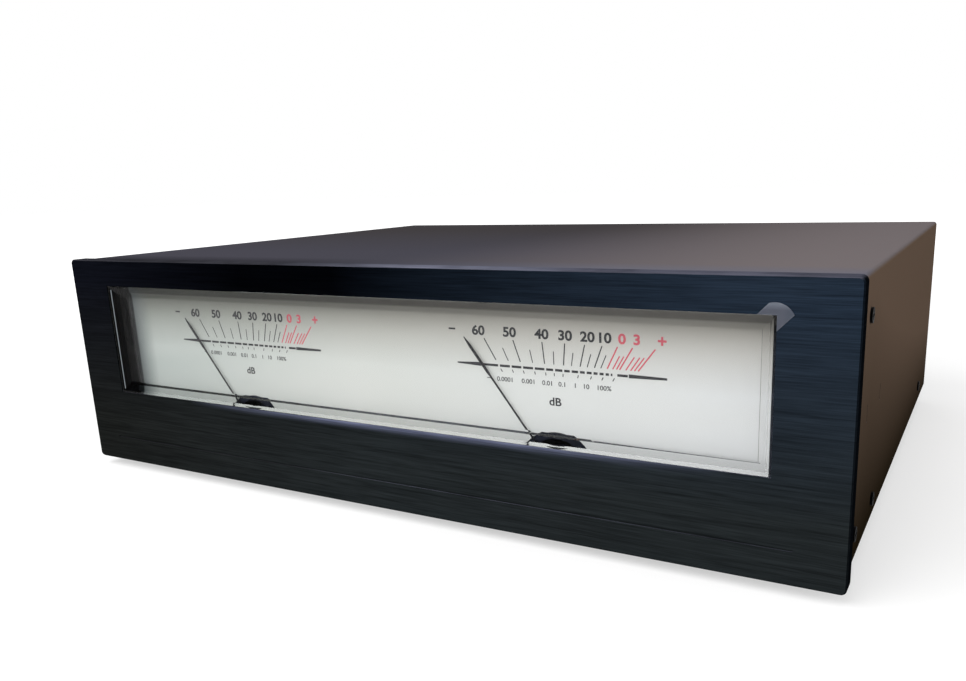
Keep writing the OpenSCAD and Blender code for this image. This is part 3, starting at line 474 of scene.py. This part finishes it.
def ink_and_painted_line(name, dark, light):
    """Screen-printed ink, a little uneven, which also serves for painted light lines."""
    k = Look(name, dark, 0.55)
    k.colour(k.mix(k.noise(1.5, 2), dark, light))
    k.rough_from(k.noise(0.7), 0.45, 0.65)
    k.bump(k.noise(0.4), 0.005)
    return k.mat


def magnet():
    """Sintered magnet, dull grey with a plated skin that is a little blotched."""
    k = Look("magnet", rgb(92, 93, 98), 0.42, 0.8)
    blotch = k.add("TexVoronoi", {"Vector": k.sized(1.8), "Scale": 1}).outputs["Distance"]
    k.colour(k.mix(k.spread(blotch, 0.2, 0.8), rgb(74, 75, 80), rgb(112, 113, 118)))
    k.rough_from(blotch, 0.34, 0.52, 0.2, 0.8)
    k.bump(k.noise(0.4), 0.01)
    return k.mat


steel = metal("zinc_steel", rgb(150, 152, 156), rgb(196, 198, 202), 0.32)
black_steel = metal("black_screw", rgb(14, 14, 15), rgb(26, 26, 28), 0.5)
brass = metal("brass", rgb(150, 116, 58), rgb(206, 168, 92), 0.28)
gold = metal("gold_plate", rgb(196, 150, 70), rgb(232, 190, 104), 0.2)
bronze = metal("spring_bronze", rgb(150, 104, 56), rgb(192, 140, 80), 0.3)
soft_iron = metal("soft_iron", rgb(104, 104, 108), rgb(150, 150, 154), 0.4)
aluminium = metal("former_aluminium", rgb(176, 177, 180), rgb(214, 215, 218), 0.3)
pivot_steel = metal("pivot_steel", rgb(150, 152, 156), rgb(208, 210, 214), 0.18)
movement_black = moulded("movement_black", rgb(28, 30, 38), rgb(44, 48, 60), 0.42)
tray_white = moulded("tray_white", rgb(222, 222, 216), rgb(236, 236, 232), 0.5)
board_white = moulded("white_board", rgb(226, 227, 224), rgb(238, 238, 236), 0.4)
needle_black = moulded("needle_black", rgb(22, 22, 24), rgb(36, 36, 40), 0.55, 0.3, 0.005)
rubber = moulded("rubber", rgb(20, 20, 20), rgb(34, 33, 32), 0.75, 0.8, 0.05)
foot_plastic = moulded("foot_plastic", rgb(20, 21, 22), rgb(34, 35, 37), 0.48, wear=rgb(66, 66, 68))
chip_black = moulded("chip_black", rgb(24, 24, 25), rgb(36, 36, 38), 0.6, 0.3, 0.01)
header_white = moulded("header_white", rgb(214, 212, 200), rgb(230, 228, 218), 0.42)
socket_black = moulded("socket_black", rgb(20, 20, 21), rgb(34, 34, 36), 0.45)
rocker_black = moulded("rocker_black", rgb(18, 18, 19), rgb(32, 32, 34), 0.36, 0.7, wear=rgb(60, 60, 62))
knob_black = moulded("knob_black", rgb(18, 18, 20), rgb(32, 32, 35), 0.42, 0.6, wear=rgb(70, 70, 74))
rear_black = moulded("rear_paint", rgb(24, 24, 26), rgb(36, 36, 38), 0.5, 0.7, 0.03, rgb(80, 80, 82))
dark_ink = ink_and_painted_line("dark_ink", rgb(38, 39, 42), rgb(58, 59, 63))
red_ink = ink_and_painted_line("red_ink", rgb(206, 84, 100), rgb(222, 108, 122))
white_ink = ink_and_painted_line("white_ink", rgb(206, 206, 202), rgb(226, 226, 222))
# painted light lines on the window's border: a highlight and a corner shade
painted_edge_glint = ink_and_painted_line("painted_edge_glint", rgb(116, 124, 130), rgb(150, 158, 164))
painted_corner_shade = ink_and_painted_line("painted_corner_shade", rgb(128, 128, 124), rgb(146, 146, 142))

LOOKS = {
    brushed_black(): ["front_panel"],
    clear_window(): ["window_lens"],
    film(): ["film_tab"],
    frame_black(): ["window_frame"],
    dial_face(): ["dial_plate"],
    tray_white: ["meter_tray"],
    cover_paint(): ["top_cover", "base_tray"],
    rear_black: ["rear_panel"],
    steel: ["frame_screws", "panel_screws", "foot_screws", "bridge_screws", "movement_screws",
            "board_screws", "level_pots", "left_level_shaft", "right_level_shaft"],
    black_steel: ["side_screws", "rear_screws", "panel_brackets"],
    foot_plastic: ["feet"],
    rubber: ["foot_pads"],
    board_white: ["backlight_board"],
    led_body(): ["backlight_leds"],
    movement_black: ["left_housing", "right_housing"],
    soft_iron: ["left_yoke_ring", "right_yoke_ring"],
    magnet(): ["left_core_magnet", "right_core_magnet"],
    brass: ["left_front_bridge", "right_front_bridge", "jewel_screws", "board_standoffs",
            "left_balance_weights", "right_balance_weights"],
    bronze: ["left_hairsprings", "right_hairsprings"],
    aluminium: ["left_coil_former", "right_coil_former"],
    winding_copper(): ["left_coil_winding", "right_coil_winding"],
    pivot_steel: ["left_coil_pivots", "right_coil_pivots"],
    needle_black: ["left_pointer", "right_pointer"],
    circuit_board(): ["driver_board"],
    can_sleeve(): ["board_capacitors"],
    chip_black: ["board_chips"],
    header_white: ["board_headers"],
    ribbon_grey(): ["meter_ribbons"],
    gold: ["rca_shells", "rca_nuts"],
    socket_insulator(): ["rca_insulators"],
    socket_black: ["dc_jack", "rocker_housing"],
    rocker_black: ["power_rocker"],
    knob_black: ["left_level_knob", "right_level_knob"],
}
for material, names in LOOKS.items():
    for name in names:
        for holder in nodes[name].material_slots:
            holder.material = material


# Printing: thin raised ink, which also draws painted light on the window's border

LIFT = 0.015 * MM                      # gap between ink and what it is printed on
DIGIT = 0.7                            # height of the font's digits, for a size of 1
WELD = 1e-5                            # points of a letter that lie closer are one


def letters(text, weight):
    """Mesh of a text, one unit thick, for a font size of 1."""
    curve = bpy.data.curves.new("letters", "FONT")
    curve.body = text
    curve.offset = weight
    curve.extrude = 0.5
    holder = bpy.data.objects.new("letters", curve)
    bpy.context.scene.collection.objects.link(holder)
    shown = holder.evaluated_get(bpy.context.evaluated_depsgraph_get())
    part = bmesh.new()
    part.from_mesh(shown.to_mesh())
    shown.to_mesh_clear()
    bpy.data.objects.remove(holder)
    bpy.data.curves.remove(curve)
    return part


class Print:
    """Collects outlines as one thin mesh: millimetres, x right and z up as seen from the front."""

    def __init__(self, name, thick_mm=0.03):
        self.name = name
        self.thick_mm = thick_mm
        self.mesh = bmesh.new()
        self.inks = []

    def slot(self, material):
        """Number of the material's slot, which is added at its first use."""
        if material not in self.inks:
            self.inks.append(material)
        return self.inks.index(material)

    def shape(self, points, material):
        """Prism over an outline given anticlockwise."""
        slot = self.slot(material)
        rings = [[self.mesh.verts.new((x, y, z)) for x, z in points] for y in (-self.thick_mm, 0)]
        faces = [self.mesh.faces.new(rings[0]), self.mesh.faces.new(rings[1][::-1])]
        for i, a in enumerate(rings[0]):
            j = (i + 1) % len(points)
            faces.append(self.mesh.faces.new((a, rings[1][i], rings[1][j], rings[0][j])))
        for face in faces:
            face.material_index = slot

    def line(self, start, end, width_mm, material, end_width_mm=None):
        """Straight line between two points, which may get wider or narrower to its end."""
        a, b = Vector(start), Vector(end)
        across = (b - a).normalized().orthogonal() / 2
        near, far = across * width_mm, across * (end_width_mm or width_mm)
        self.shape([a - near, b - far, b + far, a + near], material)

    def words(self, text, x, z, height_mm, material, weight, stretch=1.0):
        """Text centred on a point, with digits of that height."""
        part = letters(text, weight)
        low = [min(v.co[i] for v in part.verts) for i in (0, 1)]
        high = [max(v.co[i] for v in part.verts) for i in (0, 1)]
        top_and_bottom = low[1] + high[1] if text == "+" else DIGIT
        middle = Vector((low[0] + high[0], top_and_bottom, 0)) / 2
        size = height_mm / DIGIT
        bmesh.ops.remove_doubles(part, verts=part.verts, dist=WELD)
        part.transform(
            Matrix.Translation((x, -self.thick_mm / 2, z))
            @ Matrix.Rotation(math.radians(90), 4, "X")
            @ Matrix.Diagonal((size * stretch, size, self.thick_mm, 1))
            @ Matrix.Translation(-middle)
        )
        self.take(part, self.slot(material))

    def take(self, part, slot):
        """Moves another mesh's faces into this one, all with one material slot."""
        moved = bpy.data.meshes.new(self.name)
        part.to_mesh(moved)
        part.free()
        before = len(self.mesh.faces)
        self.mesh.from_mesh(moved)
        bpy.data.meshes.remove(moved)
        self.mesh.faces.ensure_lookup_table()
        for face in self.mesh.faces[before:]:
            face.material_index = slot
            face.smooth = False

    def finish(self, x_mm, y, body, turn=0.0, height_mm=0):
        """Puts the print's origin there, turned about Z by radians, and lets it ride on a body."""
        bmesh.ops.recalc_face_normals(self.mesh, faces=self.mesh.faces)
        self.mesh.transform(
            Matrix.Translation((x_mm * MM, y, (panel_lift_mm + height_mm) * MM))
            @ Matrix.Rotation(turn, 4, "Z")
            @ Matrix.Scale(MM, 4)
        )
        mesh = bpy.data.meshes.new(self.name)
        self.mesh.to_mesh(mesh)
        self.mesh.free()
        for material in self.inks:
            mesh.materials.append(material)
        piece = bpy.data.objects.new(self.name, mesh)
        bpy.context.scene.collection.objects.link(piece)
        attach(piece, body)


# Scale: heights above the panel's foot, X from the pivot, and angles in degrees from upright
tick_foot_mm, long_top_mm, short_top_mm = 76.3, 85.8, 82.0
long_w_mm, short_w_mm, red_w_mm, short_red_w_mm = 0.5, 0.4, 0.6, 0.55
LONG_TICKS = {"60": -31.25, "50": -19.45, "40": -6.15, "30": 4.5, "20": 13.4, "10": 20.5}
RED_TICKS = {"0": 26.2, "3": 31.2, "+": 37.7}
SHORT_TICKS = (-25.5, -12.8, -0.9, 8.8, 17.0, 23.4)
SHORT_RED = (28.5, 30.0, 33.5, 35.2, 36.5)

number_h_mm, number_size_mm = 89.3, 4.1
number_weight, number_stretch = 0.032, 1.14    # the font's strokes thickened, and its letters widened
NUMBER_X = {"60": -38.2, "50": -22.2, "40": -6.4, "30": 4.9, "20": 15.2, "10": 23.3}
RED_X = {"0": 30.7, "3": 37.1}
plus_x_mm, plus_size_mm, plus_weight = 47.9, 4.9, 0.026
minus_start_mm, minus_end_mm, minus_w_mm = -54.0, -50.4, 0.8

line_h_mm = 73.9
wedge_end_mm, wedge_left_mm, wedge_right_mm = 50.1, -37.4, 33.6
left_tip_mm, left_butt_mm = 0.6, 1.8   # a wedge's thickness at its outer and its inner end
right_tip_mm, right_butt_mm = 0.95, 1.6
bar_w_mm = 1.05
bar_gap_mm = 0.45                      # from a tick's middle to the bar
bar_room_mm = 1.4                      # ticks that stand closer have no bar between them

share_h_mm, share_size_mm = 67.9, 2.0
share_weight, share_stretch = 0.012, 1.1
share_tick_top_mm, share_tick_foot_mm, share_tick_w_mm = 72.5, 71.2, 0.4
share_minus_start_mm, share_minus_end_mm, share_minus_w_mm = -34.6, -33.0, 0.35
SHARE_X = {
    "0.0001": -25.5, "0.001": -13.7, "0.01": -4.3, "0.1": 2.8, "1": 9.2, "10": 14.5, "100%": 22.7,
}
unit_x_mm, unit_h_mm, unit_size_mm = -0.5, 59.9, 3.5
unit_weight, unit_stretch = 0.02, 1.12


def on_ray(angle, height_mm):
    """Point at a height on the line from the pivot at that angle."""
    return ((height_mm - pivot_h_mm) * math.tan(math.radians(angle)), height_mm)


def ticks(p, angles, top_mm, width_mm, material):
    for angle in angles:
        p.line(on_ray(angle, tick_foot_mm), on_ray(angle, top_mm), width_mm, material)


def numbers(p):
    """Row of figures over the ticks, with a sign at each end."""
    for places, material in ((NUMBER_X, dark_ink), (RED_X, red_ink)):
        for text, x in places.items():
            p.words(text, x, number_h_mm, number_size_mm, material, number_weight, number_stretch)
    p.words("+", plus_x_mm, number_h_mm, plus_size_mm, red_ink, plus_weight)
    p.line((minus_start_mm, number_h_mm), (minus_end_mm, number_h_mm), minus_w_mm, dark_ink)


def base_line(p):
    """A wedge at each end, and a bar between them that is broken at each tick."""

    def along(start, end, width_mm, end_width_mm=None):
        p.line((start, line_h_mm), (end, line_h_mm), width_mm, dark_ink, end_width_mm)

    along(-wedge_end_mm, wedge_left_mm, left_tip_mm, left_butt_mm)
    along(wedge_end_mm, wedge_right_mm, right_tip_mm, right_butt_mm)
    red = (RED_TICKS["0"], RED_TICKS["3"], *SHORT_RED[:2])
    breaks = sorted(on_ray(a, line_h_mm)[0] for a in (*LONG_TICKS.values(), *SHORT_TICKS, *red))
    ends = [wedge_left_mm, *breaks, wedge_right_mm]
    for a, b in zip(ends, ends[1:]):
        if b - a > bar_room_mm:
            along(a + bar_gap_mm, b - bar_gap_mm, bar_w_mm)


def share_row(p):
    """Small row under the base line: the same levels as shares of full power."""
    for angle in (*LONG_TICKS.values(), *SHORT_TICKS[:3], RED_TICKS["0"], RED_TICKS["3"]):
        top, foot = on_ray(angle, share_tick_top_mm), on_ray(angle, share_tick_foot_mm)
        p.line(top, foot, share_tick_w_mm, dark_ink)
    for text, x in SHARE_X.items():
        p.words(text, x, share_h_mm, share_size_mm, dark_ink, share_weight, share_stretch)
    start, end = (share_minus_start_mm, share_h_mm), (share_minus_end_mm, share_h_mm)
    p.line(start, end, share_minus_w_mm, dark_ink)


def scale_print(side, name):
    """Everything printed on one meter's part of the dial."""
    p = Print(name)
    ticks(p, LONG_TICKS.values(), long_top_mm, long_w_mm, dark_ink)
    ticks(p, SHORT_TICKS, short_top_mm, short_w_mm, dark_ink)
    ticks(p, RED_TICKS.values(), long_top_mm, red_w_mm, red_ink)
    ticks(p, SHORT_RED, short_top_mm, short_red_w_mm, red_ink)
    numbers(p)
    base_line(p)
    share_row(p)
    p.words("dB", unit_x_mm, unit_h_mm, unit_size_mm, dark_ink, unit_weight, unit_stretch)
    p.finish(side * meter_x_mm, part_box("dial_plate")[0].y - LIFT, "case")


def border_line(name, side, material, inset_mm, width_mm, low_off_mm, high_off_mm):
    """Fine upright line of painted light on the slope of the window's border, placed in from the
    opening's edges.
    """
    p = Print(name)
    ends_mm = window_low_mm + low_off_mm, window_high_mm - high_off_mm
    p.line((0, ends_mm[0]), (0, ends_mm[1]), width_mm, material)
    rise_mm, run_mm = slope_foot_mm - slope_top_mm, slope_in_mm - slope_out_mm
    depth_mm = slope_top_mm + (inset_mm - slope_out_mm) / run_mm * rise_mm
    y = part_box("front_panel")[0].y + depth_mm * MM - LIFT
    p.finish(side * (window_x_mm - inset_mm), y, "case", -side * math.atan2(rise_mm, run_mm))


def window_lines():
    """Painted light on the window's border: a painted highlight along its polished ridge, and a painted
    shade line at its inner corner.
    """
    border_line("left_window_ridge_glint", -1, painted_edge_glint,
                inset_mm=2.1, width_mm=0.45, low_off_mm=1.9, high_off_mm=2.3)
    border_line("right_window_corner_shade", 1, painted_corner_shade,
                inset_mm=5.6, width_mm=0.22, low_off_mm=4.9, high_off_mm=5.7)


# Marks behind. Each is a list of straight lines, as start, end and width, round its middle
level_turn, level_step = 150, 30       # degrees to each side of upright, and between ticks
level_in_mm, level_out_mm, level_end_mm, level_w_mm = 11.4, 13.0, 14.2, 0.5
sign_off_mm = 15.5                     # from the rocker's middle to its signs
sign_r_mm, on_w_mm, off_w_mm = 1.6, 0.6, 0.5
polarity_off_mm = 12                   # from the inlet's middle to its sign
index_in_mm, index_out_mm, index_w_mm, index_t_mm = 2.3, 6.7, 0.9, 0.25
index_sunk_mm = 0.4                    # from a knob's face to the paint in its slot


def ring(radius_mm, width_mm):
    """Short straight lines that make a circle, anticlockwise from its right."""
    steps = 24
    turns = [2 * math.pi * i / steps for i in range(steps)]
    at = [(radius_mm * math.cos(a), radius_mm * math.sin(a)) for a in turns]
    return [(a, b, width_mm) for a, b in zip(at, at[1:] + at[:1])]


def level_ticks():
    """Ticks round a level knob, longer at the ends and in the middle."""
    lines = []
    for turn in range(-level_turn, level_turn + 1, level_step):
        a = math.radians(turn)
        out = Vector((math.sin(a), math.cos(a)))
        end_mm = level_end_mm if turn % level_turn == 0 else level_out_mm
        lines.append((level_in_mm * out, end_mm * out, level_w_mm))
    return lines


def polarity_sign():
    """Inlet's sign: a dot joined to plus, and an open ring round it joined to minus."""
    thin_mm = 0.4
    dot = [((-0.7, 0), (0.7, 0), 1.4)]
    leads = [((-4.2, 0), (-1.9, 0), thin_mm), ((0.7, 0), (4.2, 0), thin_mm)]
    minus = [((-6.6, 0), (-4.9, 0), thin_mm)]
    plus = [((4.9, 0), (6.6, 0), thin_mm), ((5.75, -0.85), (5.75, 0.85), thin_mm)]
    open_ring = ring(2.1, thin_mm)[2:-2]
    return dot + leads + minus + plus + open_ring


def rear_marks():
    """White marks behind: level ticks, on and off signs, and the inlet's polarity sign."""
    p = Print("rear_marks")

    def put(x, z, lines):
        for a, b, width_mm in lines:
            p.line((a[0] - x, a[1] + z), (b[0] - x, b[1] + z), width_mm, white_ink)

    for i in (0, 1):
        put(knob_x_mm + i * knob_pitch_mm, knob_h_mm, level_ticks())
    put(rocker_x_mm, rocker_h_mm + sign_off_mm, [((0, -sign_r_mm), (0, sign_r_mm), on_w_mm)])
    put(rocker_x_mm, rocker_h_mm - sign_off_mm, ring(sign_r_mm, off_w_mm))
    put(jack_x_mm, jack_h_mm + polarity_off_mm, polarity_sign())
    p.finish(0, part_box("rear_panel")[1].y + LIFT, "case", math.pi)


def knob_index(i, side):
    """White paint in the slot across a level knob's face."""
    p = Print(side + "_knob_index", index_t_mm)
    p.line((0, index_in_mm), (0, index_out_mm), index_w_mm, white_ink)
    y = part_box(side + "_level_knob")[1].y - index_sunk_mm * MM
    p.finish(knob_x_mm + i * knob_pitch_mm, y, side + "_knob", math.pi, knob_h_mm)


scale_print(-1, "left_scale_print")
scale_print(1, "right_scale_print")
window_lines()
rear_marks()
knob_index(0, "left")
knob_index(1, "right")


# Camera, light and floor


def camera():
    """Camera at the photograph's angle. Its frame was solved from the case's corners."""
    azimuth, elevation, roll = 0.5129, 0.2442, -0.0352
    place = (0.25459, -0.478465, 0.15821)
    flat = math.cos(elevation)
    look = Vector((-math.sin(azimuth) * flat, math.cos(azimuth) * flat, -math.sin(elevation)))
    right = Vector((math.cos(azimuth), math.sin(azimuth), 0))
    up = right.cross(look)
    turned = math.cos(roll) * right + math.sin(roll) * up
    upright = math.cos(roll) * up - math.sin(roll) * right
    turn = Matrix((turned, upright, -look)).transposed().to_4x4()
    data = bpy.data.cameras.new("camera")
    data.sensor_width = 36
    data.lens = 31.83
    data.shift_x = -0.0433
    data.shift_y = 0.0547
    data.clip_start = 0.01
    eye = bpy.data.objects.new("camera", data)
    eye.matrix_world = Matrix.Translation(place) @ turn
    bpy.context.scene.collection.objects.link(eye)
    bpy.context.scene.camera = eye


def lamp(name, place, target, size, watts, mirrored=True):
    """Rectangular lamp that faces its target. Gloss and glass show it only if it is mirrored."""
    data = bpy.data.lights.new(name, "AREA")
    data.shape = "RECTANGLE"
    data.size, data.size_y = size
    data.energy = watts
    light = bpy.data.objects.new(name, data)
    light.location = place
    light.rotation_euler = (Vector(target) - Vector(place)).to_track_quat("-Z", "Y").to_euler()
    light.visible_glossy = light.visible_transmission = mirrored
    bpy.context.scene.collection.objects.link(light)


def world():
    """White to the camera, a grey room in gloss and glass, and a plain soft light for the rest."""
    made = bpy.data.worlds.new("studio")
    bpy.context.scene.world = made
    made.use_nodes = True
    made.node_tree.nodes.clear()
    k = Nodes(made.node_tree)
    # the room is dimmer in front of the object than behind it
    to_rear = k.add("SeparateXYZ", [k.add("TexCoord").outputs["Generated"]]).outputs["Y"]
    room = k.spread(to_rear, -0.35, 0.3, 0.1, 0.5)
    shown = k.add("Background", [grey(1), k.math("MAXIMUM", room, k.seen_ray())]).outputs[0]
    soft = k.add("Background", [grey(1), 0.42]).outputs[0]
    share = k.seen_ray("Is Glossy Ray", "Is Transmission Ray")
    k.add("OutputWorld", [k.add("MixShader", [share, soft, shown]).outputs[0]])


def floor():
    """Pale floor that shows white and keeps the object's shadow."""
    k = Look("floor", grey(0.5), 0.9, Specular_IOR_Level=0.0)
    k.colour(k.mix(k.noise(50, 2), grey(0.46), grey(0.49)))
    away = k.add("VectorMath", [k.where()], operation="LENGTH").outputs["Value"]
    near_m, far_m = 0.5, 1.5
    shown = k.spread(away, near_m, far_m, 0.56, 1.0)
    strength = k.math("MULTIPLY", k.seen_ray("Is Transmission Ray"), shown)
    glow = k.add("Emission", [grey(1), strength]).outputs[0]
    k.put(k.surface, k.add("AddShader", [k.shader.outputs[0], glow]).outputs[0])
    mesh = bpy.data.meshes.new("floor")
    end = 8.0
    corners = [(-end, -end, 0), (end, -end, 0), (end, end, 0), (-end, end, 0)]
    mesh.from_pydata(corners, [], [(0, 1, 2, 3)])
    mesh.materials.append(k.mat)
    ground = bpy.data.objects.new("floor", mesh)
    bpy.context.scene.collection.objects.link(ground)


camera()
world()
floor()
lamp("key", (-0.5, -1.5, 1.5), (0, -0.1, 0.06), size=(1.8, 1.2), watts=34, mirrored=False)
lamp("top", (0.1, 0.3, 1.7), (0, 0, 0.1), size=(1.8, 1.6), watts=6)
lamp("right", (1.6, -0.3, 0.7), (0.2, 0, 0.06), size=(1.2, 1.0), watts=6)
lamp("rim", (-0.71, -0.53, 1.39), (0.05, -0.17, 0.12), size=(0.3, 0.3), watts=4)
bpy.context.scene.view_settings.view_transform = "Standard"
